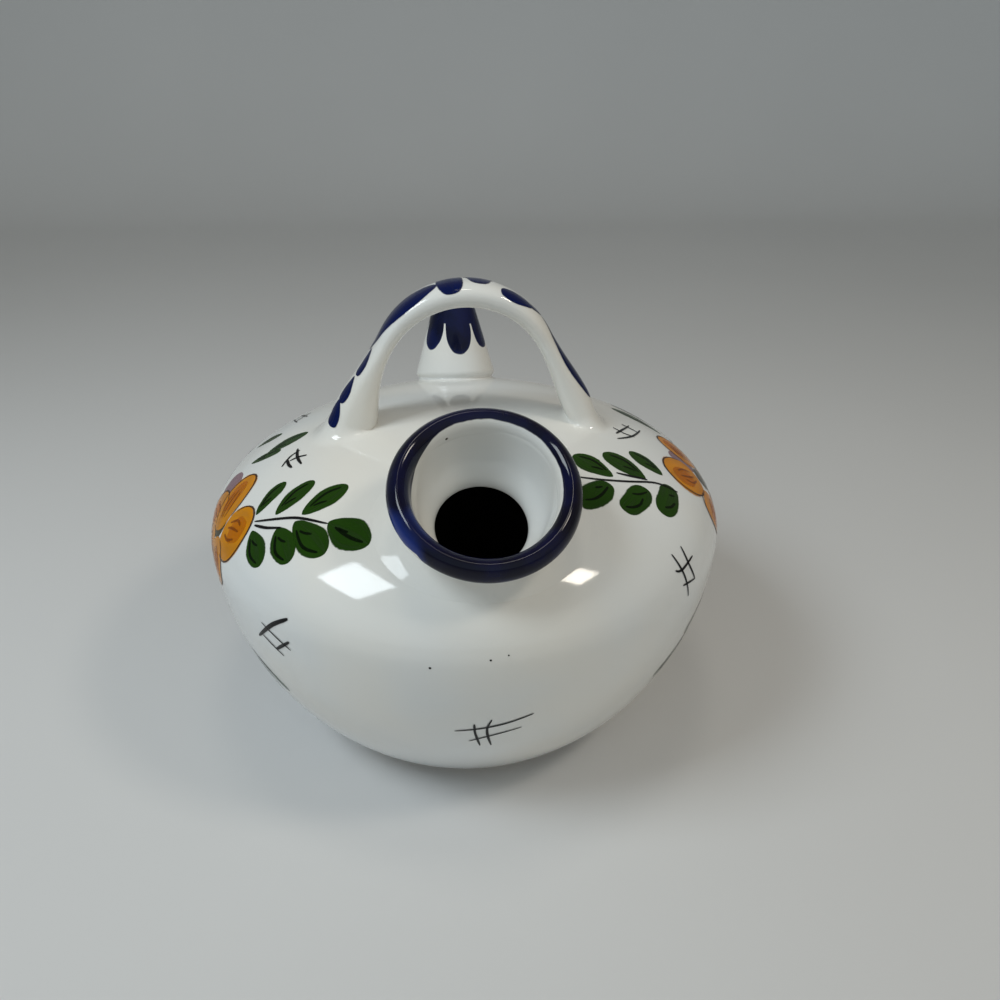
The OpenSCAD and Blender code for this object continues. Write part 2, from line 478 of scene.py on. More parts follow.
@dataclass(frozen=True)
class DippedRim:
    """White glaze whose lip was painted round with cobalt by a wandering brush.

    Attributes:
        stand: Where the mouth stands.
        inner: Height down to which the inside of the lip is blue.
        dip: How much lower that is on the left.
        reach: Radius outside which the lip is blue down to its lower edge.
        edge: Height of that lower edge.
        bare: Height by which the edge rises on the side that the brush missed.
        missed: Direction of that side.
        waver: Height that the brush wanders over.
        soft: Heights about an edge between which it fades in.
        speck: Place of a dark speck on the inside of the neck.
        speck_edge: Distances from its middle between which it fades out.
        name: The material's name.
        glaze: The glaze below.
        cobalt: The colour.
    """

    stand: Stand
    inner: float = 0.0165
    dip: float = 0.0044
    reach: float = 0.0206
    edge: float = 0.0126
    bare: float = 0.0026
    missed: tuple[float, float] = (-0.87, -0.49)
    waver: float = 0.0016
    soft: tuple[float, float] = (-0.00015, 0.0002)
    speck: tuple[float, float, float] = (-0.00895, 0.01684, 0.0136)
    speck_edge: tuple[float, float] = (0.00035, 0.00055)
    name: str = "rim_glaze"
    glaze: Glaze = field(default_factory=Glaze)
    cobalt: Cobalt = field(default_factory=Cobalt)

    def material(self) -> bpy.types.Material:
        """The two-coloured glaze of the mouth."""
        graph = Finish(self.name)
        across, along, height = graph.local(self.stand)
        radius = (across * across + along * along) ** 0.5
        waver = (graph.noise(graph.place(), size=0.007, detail=3.0) - 0.5) * self.waver
        right, back = across / radius, along / radius
        missed = (right * self.missed[0] + back * self.missed[1]).ramp(0.9, 0.995)
        lower = height + waver - self.edge - missed * self.bare
        left = (right * -1).largest(0.0) ** 4
        upper = height + waver * 0.6 - self.inner - back * 0.0006 + left * self.dip
        outside = lower.ramp(*self.soft) * (radius - self.reach).ramp(-0.0002, 0.0002)
        cover = outside.largest(upper.ramp(*self.soft))
        patch = graph.noise(graph.place(), size=0.016, detail=1.0).ramp(0.5, 0.7)
        thinning = (1 - lower.ramp(0.0004, 0.0036)) * (missed * 0.9).largest(patch * 0.4)
        colour = graph.mix(self.glaze.white(graph), self.cobalt.blue(graph, thinning), cover)
        apart = [part - place for part, place in zip((across, along, height), self.speck)]
        dot = 1 - (sum(part * part for part in apart) ** 0.5).ramp(*self.speck_edge)
        colour = graph.mix(colour, self.glaze.speck, dot)
        return self.glaze.dress(graph, colour, IOR=self.cobalt.index)


@dataclass(frozen=True)
class DippedTip:
    """White glaze with a cobalt tip that ends in petals.

    Attributes:
        stand: Where the spout stands.
        notch: Height of the notches between the petals.
        drop: Length of a petal.
        petals: Their number.
        longer: Share by which two of them are longer.
        turn: Angle that they are turned by.
        waver: Height that the brush wanders over.
        name: The material's name.
        glaze: The glaze below.
        cobalt: The colour.
    """

    stand: Stand
    notch: float = 0.0222
    drop: float = 0.0105
    petals: int = 6
    longer: float = 0.11
    turn: float = 0.1
    waver: float = 0.0014
    name: str = "tip_glaze"
    glaze: Glaze = field(default_factory=Glaze)
    cobalt: Cobalt = Cobalt(deep=(0.0015, 0.003, 0.02), body=(0.003, 0.007, 0.05))

    def material(self) -> bpy.types.Material:
        """The two-coloured glaze of the spout."""
        graph = Finish(self.name)
        across, along, height = graph.local(self.stand)
        sway = (graph.noise(graph.place(), size=0.02, detail=1.0) - 0.5) * 0.3
        turn = across.angle_to(along) + sway + self.turn
        petal = ((abs((turn * (self.petals / 2)).cosine()) - 0.1) / 0.9).largest(0.001) ** 0.42
        waver = (graph.noise(graph.place(), size=0.006, detail=2.0) - 0.5) * self.waver
        hang = self.drop * (1 + self.longer * (turn * 2).cosine())
        level = height + waver - self.notch + hang * petal
        cover = level.ramp(-0.0002, 0.0003)
        rim = 1 - level.ramp(0.0003, 0.002)
        colour = graph.mix(self.glaze.white(graph), self.cobalt.blue(graph, rim * 0.12), cover)
        return self.glaze.dress(graph, colour, IOR=self.cobalt.index)


@dataclass(frozen=True)
class Brush:
    """Pigment films: colour from the stroke's own attribute, streaks along its own UV map.

    Attributes:
        name: The material's name.
        index: Refraction that its gloss comes from.
        streaks: How often the streaks change along and across a stroke.
        patch_size: Size of the paler patches.
        ragged_size: Size of the teeth along its edge.
        glaze: The glaze that it fired into.
    """

    name: str = "brush_pigment"
    index: float = 1.22
    streaks: tuple[float, float] = (1.6, 5.0)
    patch_size: float = 0.004
    ragged_size: float = 0.0014
    glaze: Glaze = field(default_factory=Glaze)

    def material(self) -> bpy.types.Material:
        """The pigment, glossy as the glaze it fired into."""
        graph = Finish(self.name)
        tint = graph.node("ShaderNodeAttribute", {"attribute_name": "tint"}, {})
        grain = graph.node("ShaderNodeAttribute", {"attribute_name": "grain"}, {})
        laid = graph.node("ShaderNodeUVMap", {"uv_map": "UVMap"}, {})
        along, across, _ = graph.parts(laid.outputs[0])
        seed = Value(graph, grain.outputs["Fac"])
        ahead, aside = along * self.streaks[0], across * self.streaks[1]
        vector = graph.node("ShaderNodeCombineXYZ", {}, {0: ahead, 1: aside, 2: seed})
        streak = graph.noise(vector.outputs[0], size=1.0, detail=3.0)
        patch = graph.noise(graph.place(), self.patch_size, detail=2.0)
        shade = 0.68 + 0.56 * streak + 0.12 * patch
        grey = graph.node("ShaderNodeCombineColor", {}, {0: shade, 1: shade, 2: shade})
        colour = graph.mix(tint.outputs["Color"], grey.outputs[0], 1.0, "MULTIPLY")
        edge = 1 - abs(across * 2 - 1)
        ragged = edge + (graph.noise(graph.place(), self.ragged_size, detail=2.0) - 0.5) * 0.1
        wash = 0.92 + 0.08 * streak.ramp(0.25, 0.6)
        cover = Value(graph, tint.outputs["Alpha"]) * ragged.ramp(0.0, 0.1) * wash
        return self.glaze.dress(graph, colour, Alpha=cover, IOR=self.index)


@dataclass(frozen=True)
class BareClay:
    """Unglazed clay of the foot, sandy, with a rubbed face."""

    name: str = "bare_clay"
    pale: Colour = (0.62, 0.49, 0.34)
    dark: Colour = (0.42, 0.30, 0.19)
    blotch_size: float = 0.012
    sand_size: float = 0.0009
    sand_depth: float = 0.00012

    def material(self) -> bpy.types.Material:
        """The matt clay."""
        graph = Finish(self.name)
        place = graph.place()
        blotch = graph.noise(place, self.blotch_size, detail=4.0)
        sand = graph.noise(place, self.sand_size, detail=2.0)
        colour = graph.mix(self.dark, self.pale, (blotch * 0.6 + sand * 0.4).ramp(0.3, 0.65))
        grain = graph.bump(sand, self.sand_depth)
        return graph.dress(Base_Color=colour, Roughness=0.7 + 0.2 * sand, Normal=grain)


@dataclass(frozen=True)
class Paper:
    """Plain pale sheet that the jug stands on."""

    name: str = "studio_sheet"
    colour: Colour = (0.69, 0.69, 0.69)
    cloud_size: float = 0.25
    cloud_shade: float = 0.95
    rough: float = 0.85

    def material(self) -> bpy.types.Material:
        """The matt sheet, with the faintest unevenness."""
        graph = Finish(self.name)
        cloud = graph.noise(graph.place(), self.cloud_size, detail=2.0)
        shaded = tuple(self.cloud_shade * part for part in self.colour)
        return graph.dress(Base_Color=graph.mix(shaded, self.colour, cloud), Roughness=self.rough)


# Modelling by hand


class Skin:
    """A piece modelled ring by ring: a ring of vertices is extruded and set in place."""

    def __init__(self, name: str, ring: Ring) -> None:
        """Adds the first ring.

        Args:
            name: The piece's name.
            ring: Places of the ring's vertices.
        """
        bpy.ops.object.select_all(action="DESELECT")
        bpy.ops.mesh.primitive_circle_add(vertices=len(ring), radius=ring[0].length + MM)
        self.piece = bpy.context.object
        self.piece.name = self.piece.data.name = name
        bpy.ops.object.mode_set(mode="EDIT")
        bpy.ops.mesh.select_all(action="SELECT")
        shape = bmesh.from_edit_mesh(self.piece.data)
        order = shape.verts.layers.int.new("order")
        for vert in shape.verts:
            vert[order] = vert.index
        self._set(ring)

    def _set(self, ring: Ring) -> None:
        """Moves the selected ring to its places.

        Args:
            ring: The places.
        """
        shape = bmesh.from_edit_mesh(self.piece.data)
        order = shape.verts.layers.int["order"]
        for vert in shape.verts:
            if vert.select:
                vert.co = ring[vert[order]]
        bmesh.update_edit_mesh(self.piece.data)

    def extrude(self, *rings: Ring) -> Skin:
        """Extrudes the last ring once for each ring given.

        Args:
            rings: Places of the new rings' vertices.

        Returns:
            The same skin.
        """
        for ring in rings:
            bpy.ops.mesh.extrude_region_move()
            self._set(ring)
        return self

    def cap(self) -> Skin:
        """Closes the last ring with a face that is poked to its middle."""
        bpy.ops.mesh.edge_face_add()
        bpy.ops.mesh.poke()
        return self

    def cap_start(self) -> Skin:
        """Closes the first ring in the same way, once the last one is closed."""
        bpy.ops.mesh.select_all(action="DESELECT")
        bpy.ops.mesh.select_non_manifold()
        return self.cap()

    def finish(self, smooth: float = 40.0) -> bpy.types.Object:
        """Merges seams, turns the faces outwards and shades the piece.

        Args:
            smooth: Angle in degrees below which edges are shaded smooth.

        Returns:
            The piece, at the origin, in object mode.
        """
        bpy.ops.mesh.select_all(action="SELECT")
        bpy.ops.mesh.remove_doubles(threshold=1e-6)
        bpy.ops.mesh.normals_make_consistent(inside=False)
        bpy.ops.object.mode_set(mode="OBJECT")
        self.piece.data.attributes.remove(self.piece.data.attributes["order"])
        shade(self.piece, smooth)
        return self.piece


def shade(piece: bpy.types.Object, smooth: float) -> None:
    """Shades a piece smooth, apart from its sharper edges.

    Args:
        piece: The piece.
        smooth: Angle in degrees below which edges are shaded smooth.
    """
    bpy.ops.object.select_all(action="DESELECT")
    piece.select_set(True)
    bpy.context.view_layer.objects.active = piece
    bpy.ops.object.shade_smooth_by_angle(angle=math.radians(smooth))


def change(piece: bpy.types.Object, kind: str, **settings: Any) -> None:
    """Adds a modifier to a piece and applies it.

    Args:
        piece: The piece.
        kind: The modifier's type name.
        settings: Its settings.
    """
    bpy.context.view_layer.objects.active = piece
    modifier = piece.modifiers.new(kind.lower(), kind)
    for name, setting in settings.items():
        setattr(modifier, name, setting)
    bpy.ops.object.modifier_apply(modifier=modifier.name)


def settle(
    piece: bpy.types.Object, material: bpy.types.Material, slot: Slot, replaces: Iterable[str] = ()
) -> bpy.types.Object:
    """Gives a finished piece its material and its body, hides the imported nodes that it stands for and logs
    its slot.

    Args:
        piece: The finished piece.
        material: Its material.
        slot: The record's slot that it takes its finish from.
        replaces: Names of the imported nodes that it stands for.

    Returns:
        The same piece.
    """
    piece.data.materials.clear()
    piece.data.materials.append(material)
    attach(piece, BODY)
    if replaces:
        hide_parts(*replaces)
    log.info("%s: %d faces, %s", piece.name, len(piece.data.polygons), slot.value)
    return piece


def turns(count: int) -> list[float]:
    """Angles spaced evenly round a full turn."""
    return [math.tau * k / count for k in range(count)]


def circle(radius: float, height: float, count: int) -> Ring:
    """A level ring about the jug's axis."""
    return [Vector((radius * math.sin(turn), -radius * math.cos(turn), height)) for turn in turns(count)]


def between(first: float, last: float, share: float) -> float:
    """A number between two numbers."""
    return first + (last - first) * share


# The jug


class Surface(ABC):
    """A face that can be painted, charted by two numbers."""

    @abstractmethod
    def spot(self, first: float, second: float) -> Vector:
        """The place that two chart numbers stand for."""

    def slopes(self, first: float, second: float) -> tuple[Vector, Vector]:
        """How the place moves with each chart number.

        Args:
            first: The chart's first number.
            second: Its second number.

        Returns:
            The movement for one unit of each.
        """
        step = 0.02
        along = self.spot(first + step, second) - self.spot(first - step, second)
        across = self.spot(first, second + step) - self.spot(first, second - step)
        return along / (2 * step), across / (2 * step)


@dataclass(frozen=True)
class JugForm(Surface):
    """The turned outline that every other piece sits on.

    Its chart is the azimuth in degrees, from the mouth and positive to the right of it, and the climb in
    millimetres along the face, up from the widest line.
    """

    radius: float = 0.085
    belt: float = 0.070
    rise: float = 0.035
    dome_fullness: float = 2.1
    tail: float = 0.024
    bowl_fullness: float = 1.9
    wall: float = 0.005
    foot: float = 0.004

    @property
    def depth(self) -> float:
        """Depth of the bowl's whole curve below the widest line."""
        return self.belt + self.tail

    def dome_z(self, reach: float) -> float:
        """Height of the dome's face at a distance from the axis."""
        left = max(0.0, 1 - (reach / self.radius) ** self.dome_fullness)
        return self.belt + self.rise * left ** (1 / self.dome_fullness)

    def above(self, point: Vector) -> float:
        """Height of a point above the dome's face."""
        return point.z - self.dome_z(math.hypot(point.x, point.y))

    def onto_dome(self, point: Vector) -> Vector:
        """The dome's face below or above a point."""
        return Vector((point.x, point.y, self.dome_z(math.hypot(point.x, point.y))))

    def _curve(self, turn: float, tall: float, fullness: float) -> Spot:
        """Radius and height on one of the outline's two curves."""
        power = 2 / fullness
        return self.radius * math.cos(turn) ** power, self.belt + tall * math.sin(turn) ** power

    def outline(self, bowl_steps: int, dome_steps: int) -> list[Spot]:
        """Points along the face, from the bowl's lower edge nearly to the dome's top.

        Args:
            bowl_steps: Number of points on the bowl.
            dome_steps: Number of points on the dome.

        Returns:
            Radius and height of each point.
        """
        low = math.asin(((self.belt - self.foot) / self.depth) ** (self.bowl_fullness / 2))
        bowl = [low * (1 - k / bowl_steps) for k in range(bowl_steps)]
        dome = [math.pi / 2 * k / dome_steps for k in range(dome_steps)]
        points = [self._curve(turn, -self.depth, self.bowl_fullness) for turn in bowl]
        return points + [self._curve(turn, self.rise, self.dome_fullness) for turn in dome]

    @cached_property
    def tape(self) -> list[tuple[float, float, float]]:
        """Length up from the widest line, radius and height, at many points from the foot to the top."""
        bowl_steps, dome_steps = 300, 400
        points = self.outline(bowl_steps, dome_steps)
        lengths = [0.0]
        for first, second in zip(points, points[1:]):
            lengths.append(lengths[-1] + math.dist(first, second))
        return [(length - lengths[bowl_steps], *point) for length, point in zip(lengths, points)]

    def spot(self, first: float, second: float) -> Vector:
        """The place that two chart numbers stand for.

        Args:
            first: The azimuth in degrees.
            second: The climb in millimetres.

        Returns:
            The place.
        """
        climb = second * MM
        high = min(len(self.tape) - 1, max(1, bisect(self.tape, (climb,))))
        (start, *one), (end, *two) = self.tape[high - 1], self.tape[high]
        radius, height = (between(a, b, (climb - start) / (end - start)) for a, b in zip(one, two))
        turn = math.radians(first)
        return Vector((radius * math.sin(turn), -radius * math.cos(turn), height))

    def degree(self, climb: float) -> float:
        """Millimetres that one degree of azimuth spans at a climb."""
        return math.radians(self.spot(0.0, climb).xy.length) / MM


@dataclass(frozen=True)
class Stand:
    """A place on the dome where a leaning piece stands.

    Attributes:
        form: The jug's outline.
        out: Distance from the jug's axis.
        tilt: Lean in degrees, away from that axis.
        heading: 1 to lean to the back, -1 to lean to the front.
        search: Heights between which the dome's face is looked for.
        halvings: How often that span is halved.
    """

    form: JugForm
    out: float
    tilt: float
    heading: float
    search: tuple[float, float] = (-0.05, 0.04)
    halvings: int = 40

    @property
    def middle(self) -> Vector:
        """Where the leaning axis leaves the dome."""
        return Vector((0.0, self.heading * self.out, self.form.dome_z(self.out)))

    @property
    def lean(self) -> float:
        """Turn about X that leans the axis, in radians."""
        return -self.heading * math.radians(self.tilt)

    @cached_property
    def matrix(self) -> Matrix:
        """From the leaning frame to the part's frame."""
        return Matrix.Translation(self.middle) @ Matrix.Rotation(self.lean, 4, "X")

    def point(self, radius: float, turn: float, height: float) -> Vector:
        """A place in the leaning frame's own round coordinates; turn 0 looks away from the jug's middle."""
        ahead = Vector((math.sin(turn), self.heading * math.cos(turn), 0.0)) * radius
        return self.matrix @ (ahead + Vector((0.0, 0.0, height)))

    def ring(self, radius: float, height: float, count: int) -> Ring:
        """A ring square to the leaning axis."""
        return [self.point(radius, turn, height) for turn in turns(count)]

    def rings(self, profile: Sequence[Spot], count: int) -> list[Ring]:
        """Rings at radii and heights in millimetres."""
        return [self.ring(radius * MM, height * MM, count) for radius, height in profile]

    def seat(self, radius: float, turn: float) -> float:
        """Looks for the dome's face along the leaning axis.

        Args:
            radius: Distance from that axis.
            turn: Angle round it.

        Returns:
            The face's height in the leaning frame.
        """
        low, high = self.search
        for _ in range(self.halvings):
            half = (low + high) / 2
            outside = self.form.above(self.point(radius, turn, half)) > 0
            low, high = (low, half) if outside else (half, high)
        return low


def fillet(walls: Ring, creases: Ring, feet: Ring, steps: int) -> list[Ring]:
    """Rings of a smooth blend from a wall, round its crease, out to its foot on the dome.

    Args:
        walls: Where the blend leaves the wall.
        creases: Where the wall would meet the dome.
        feet: Where the blend meets the dome.
        steps: Number of rings after the first.

    Returns:
        The rings, without the one on the wall.
    """
    rings = []
    trios = list(zip(walls, creases, feet))
    for k in range(1, steps + 1):
        t = k / steps
        weights = ((1 - t) ** 2, 2 * t * (1 - t), t * t)
        rings.append([sum((w * p for w, p in zip(weights, trio)), Vector()) for trio in trios])
    return rings


def through(points: Sequence[Spot], share: float) -> Spot:
    """A place on the smooth line through some points.

    Args:
        points: The points, at least two.
        share: How far along the line, from 0 to 1.

    Returns:
        The place.
    """
    spans = len(points) - 1
    k = min(spans - 1, int(share * spans))
    t = share * spans - k
    near = (points[max(0, k - 1)], points[k], points[k + 1], points[min(spans, k + 2)])
    weights = (
        -t + 2 * t * t - t**3, 2 - 5 * t * t + 3 * t**3, t + 4 * t * t - 3 * t**3, -t * t + t**3
    )
    return tuple(0.5 * sum(w * p[i] for w, p in zip(weights, near)) for i in range(2))


def spread(points: Sequence[Spot], steps: int) -> list[Spot]:
    """Many places on the smooth line through some points."""
    return [through(points, k / steps) for k in range(steps + 1)]


@dataclass
class Body:
    """The thrown body: bowl, dome and base in one skin of even wall, open at the mouth and the spout."""

    form: JugForm
    mouth: Stand
    spout: Stand
    finish: ShellGlaze
    count: int = 192
    bowl_steps: int = 36
    dome_steps: int = 46
    base_ring: float = 0.02
    base_band: float = 0.008
    corner: float = 0.0016
    mouth_hole: float = 0.0165
    spout_hole: float = 0.009
    cut_sides: int = 64
    cut_depth: float = 0.03

    def model(self) -> bpy.types.Object:
        """Turns the skin, gives it its wall and opens it."""
        outline = self.form.outline(self.bowl_steps, self.dome_steps)
        (edge, low), second = outline[0], outline[1]
        reaches = (self.base_ring, edge - self.base_band, edge - 2 * self.corner, edge - self.corner)
        base = [(reach, low) for reach in reaches]
        eased = [
            (edge - 0.35 * self.corner, low + 0.2 * self.corner),
            (between(edge, second[0], 0.4), between(low, second[1], 0.4)),
        ]
        rings = [circle(*place, self.count) for place in base + eased + outline[1:]]
        skin = Skin("jug_body", rings[0]).extrude(*rings[1:]).cap().cap_start()
        piece = skin.finish()
        change(piece, "SOLIDIFY", thickness=self.form.wall, offset=-1.0, use_even_offset=True)
        self._open(piece, self.mouth, self.mouth_hole)
        self._open(piece, self.spout, self.spout_hole)
        shade(piece, smooth=35.0)
        return piece

    def _open(self, piece: bpy.types.Object, stand: Stand, radius: float) -> None:
        """Cuts a round hole through the dome along a leaning axis.

        Args:
            piece: The body.
            stand: Where the hole goes.
            radius: Its radius.
        """
        bpy.ops.object.select_all(action="DESELECT")
        bpy.ops.mesh.primitive_cylinder_add(
            vertices=self.cut_sides,
            radius=radius,
            depth=self.cut_depth,
            location=stand.middle,
            rotation=(stand.lean, 0.0, 0.0),
        )
        cutter = bpy.context.object
        change(piece, "BOOLEAN", operation="DIFFERENCE", object=cutter, solver="EXACT")
        bpy.data.objects.remove(cutter)

    def build(self) -> bpy.types.Object:
        """Models and dresses the body."""
        nodes = ("base_disc", "lower_bowl", "upper_dome")
        return settle(self.model(), self.finish.material(), Slot.GLAZE, nodes)


@dataclass
class Foot:
    """The turned foot ring that the glaze was wiped from."""

    clay: BareClay
    outer: float = 0.0538
    band: float = 0.008
    height: float = 0.004
    ease: float = 0.0009
    count: int = 144

    def model(self) -> bpy.types.Object:
        """Turns the ring and eases its edges."""
        outer, inner, top = self.outer, self.outer - self.band, self.height
        profile = [(outer, 0.0), (outer, top), (inner, top), (inner, 0.0), (outer, 0.0)]
        rings = [circle(*place, self.count) for place in profile]
        piece = Skin("turned_foot", rings[0]).extrude(*rings[1:]).finish()
        change(piece, "BEVEL", width=self.ease, segments=3, limit_method="ANGLE", angle_limit=SHARP)
        shade(piece, smooth=50.0)
        return piece

    def build(self) -> bpy.types.Object:
        """Models and dresses the foot."""
        return settle(self.model(), self.clay.material(), Slot.CLAY, ("foot_ring",))


@dataclass
class Mouth:
    """The leaning mouth: a flared neck with its funnel and throat, and the rolled lip on it.

    Attributes:
        stand: Where it stands.
        finish: Its glaze.
        count: Points on a ring.
        waist: Outer radius of the neck.
        root: Outer radius of its end inside the dome.
        blend_top: Height at which the neck starts to spread onto the dome.
        blend_least: Least height of that blend.
        blend_back: Its width at the back.
        blend_front: Its width in front.
        sink: Depth of its edge in the dome.
        sway: How far the lip runs out of round.
        wave: How far the lip runs out of level.
    """

    stand: Stand
    finish: DippedRim
    count: int = 144
    waist: float = 0.0196
    root: float = 0.0162
    blend_top: float = 0.0095
    blend_least: float = 0.004
    blend_back: float = 0.009
    blend_front: float = 0.016
    sink: float = 0.0012
    sway: float = 0.00012
    wave: float = 0.00015

    def _neck(self) -> bpy.types.Object:
        """Models the neck and blends its foot into the dome."""
        stand, count = self.stand, self.count
        inside = [
            (13.0, -6.0), (13.05, -5.0), (13.4, -3.6), (14.2, -2.0), (15.3, -0.2), (16.5, 2.0), (17.4, 4.6),
            (18.1, 7.6), (18.55, 10.4), (18.78, 12.0), (19.0, 13.4), (19.6, 15.2), (20.2, 16.2),
        ]
        outside = [(24.0, 15.0), (24.1, 13.6), (23.4, 12.1), (22.2, 10.6), (21.0, 9.4)]
        walls, creases, feet, sunk = [], [], [], []
        for turn in turns(count):
            front = (0.5 + 0.5 * math.cos(turn)) ** 1.3
            reach = self.waist + between(self.blend_back, self.blend_front, front)
            seat, edge = stand.seat(self.waist, turn), stand.seat(reach, turn)
            walls.append(stand.point(self.waist, turn, max(self.blend_top, seat + self.blend_least)))
            creases.append(stand.point(self.waist, turn, seat))
            feet.append(stand.point(reach, turn, edge))
            sunk.append(stand.point(reach, turn, edge - self.sink))
        start, end = (stand.ring(self.root, height, count) for height in (-0.0066, -0.0030))
        skin = Skin("mouth_neck_skin", start)
        skin.extrude(*stand.rings([(13.6, -6.6), (13.1, -6.4)], count))
        skin.extrude(*stand.rings(spread(inside, steps=24), count))
        skin.extrude(*stand.rings(spread(outside, steps=8), count))
        skin.extrude(walls, *fillet(walls, creases, feet, steps=16), sunk)
        skin.extrude(end, start)
        return skin.finish(smooth=70.0)

    def _lip(self) -> bpy.types.Object:
        """Models the rolled lip, with its crest near the inner edge."""
        profile = [
            (19.05, 11.6), (18.88, 12.1), (18.9, 12.8), (19.0, 13.6), (19.2, 15.0), (19.55, 16.1),
            (20.2, 17.1), (21.0, 17.8), (21.8, 18.2), (22.4, 18.2), (23.2, 17.75), (24.0, 16.95),
            (24.65, 15.95), (25.0, 14.9), (25.05, 14.0), (24.7, 13.1), (23.9, 12.4), (22.6, 11.9),
            (20.8, 11.4), (19.05, 11.6),
        ]
        rings = []
        for radius, height in spread(profile, steps=56):
            ring = []
            for turn in turns(self.count):
                wide = radius * MM + self.sway * math.sin(3 * turn + 0.7)
                high = height * MM + self.wave * math.sin(2 * turn)
                ring.append(self.stand.point(wide, turn, high))
            rings.append(ring)
        return Skin("mouth_lip_roll", rings[0]).extrude(*rings[1:]).finish(smooth=70.0)

    def build(self) -> list[bpy.types.Object]:
        """Models and dresses the neck and the lip."""
        material = self.finish.material()
        return [
            settle(self._neck(), material, Slot.GLAZE, ("mouth_neck", "mouth_luting")),
            settle(self._lip(), material, Slot.COBALT, ("mouth_lip",)),
        ]


@dataclass
class Spout:
    """The drinking spout: a cone with a rounded heel and a narrow outlet.

    Attributes:
        stand: Where it stands.
        finish: Its glaze.
        count: Points on a ring.
        steps: Steps down the cone.
        base: Radius of the cone where it would leave the dome.
        taper: How fast its radius shrinks with the height.
        top: Height at which the tip starts.
        heel: Height of the heel that rounds its foot.
        overhang: How far the heel stands out.
    """

    stand: Stand
    finish: DippedTip
    count: int = 96
    steps: int = 14
    base: float = 0.01606
    taper: float = 0.293
    top: float = 0.0318
    heel: float = 0.0034
    overhang: float = 0.0003

    def _wall(self, share: float) -> Ring:
        """A ring on the cone.

        Args:
            share: How far down it is, from 0 at the tip's edge to 1 just above the dome.

        Returns:
            The ring.
        """
        ring = []
        for turn in turns(self.count):
            foot = self.stand.seat(self.base, turn) + self.heel
            height = between(self.top, foot, share)
            ring.append(self.stand.point(self.base - self.taper * height, turn, height))
        return ring

    def _heel(self) -> list[Ring]:
        """Rings that round the cone's foot under, ease it out onto the dome and sink its edge."""
        profile = [
            (0.1, 2.6), (0.4, 1.9), (0.85, 1.3), (1.1, 0.85), (1.0, 0.5), (0.6, 0.25), (0.0, 0.1),
            (-0.8, 0.0), (-0.8, -1.0),
        ]
        rings = []
        for inset, lift in profile:
            ring = []
            for turn in turns(self.count):
                seat = self.stand.seat(self.base, turn)
                radius = self.base - self.taper * (seat + self.heel) + self.overhang - inset * MM
                ring.append(self.stand.point(radius, turn, self.stand.seat(radius, turn) + lift * MM))
            rings.append(ring)
        return rings

    def model(self) -> bpy.types.Object:
        """Models the spout round its bore and seats it on the dome."""
        stand, count = self.stand, self.count
        bore = [(8.8, -5.0), (8.8, 0.0), (6.8, 8.0), (4.8, 16.0), (2.9, 23.6), (2.5, 25.0), (2.5, 33.2)]
        tip = [(2.5, 33.2), (2.9, 33.8), (3.6, 34.0), (4.6, 34.0), (5.6, 33.7), (6.3, 32.9), (6.74, 31.8)]
        rings = stand.rings(bore, count)
        skin = Skin("drinking_spout_cone", rings[0]).extrude(*rings[1:])
        walls = [self._wall(k / self.steps) for k in range(self.steps + 1)]
        skin.extrude(*stand.rings(spread(tip, steps=10)[1:-1], count), *walls)
        skin.extrude(*self._heel(), rings[0])
        return skin.finish(smooth=60.0)

    def build(self) -> bpy.types.Object:
        """Models and dresses the spout."""
        nodes = ("drinking_spout", "spout_luting")
        return settle(self.model(), self.finish.material(), Slot.GLAZE, nodes)


def heading(turn: float) -> Vector:
    """A flat direction."""
    return Vector((math.cos(turn), math.sin(turn)))


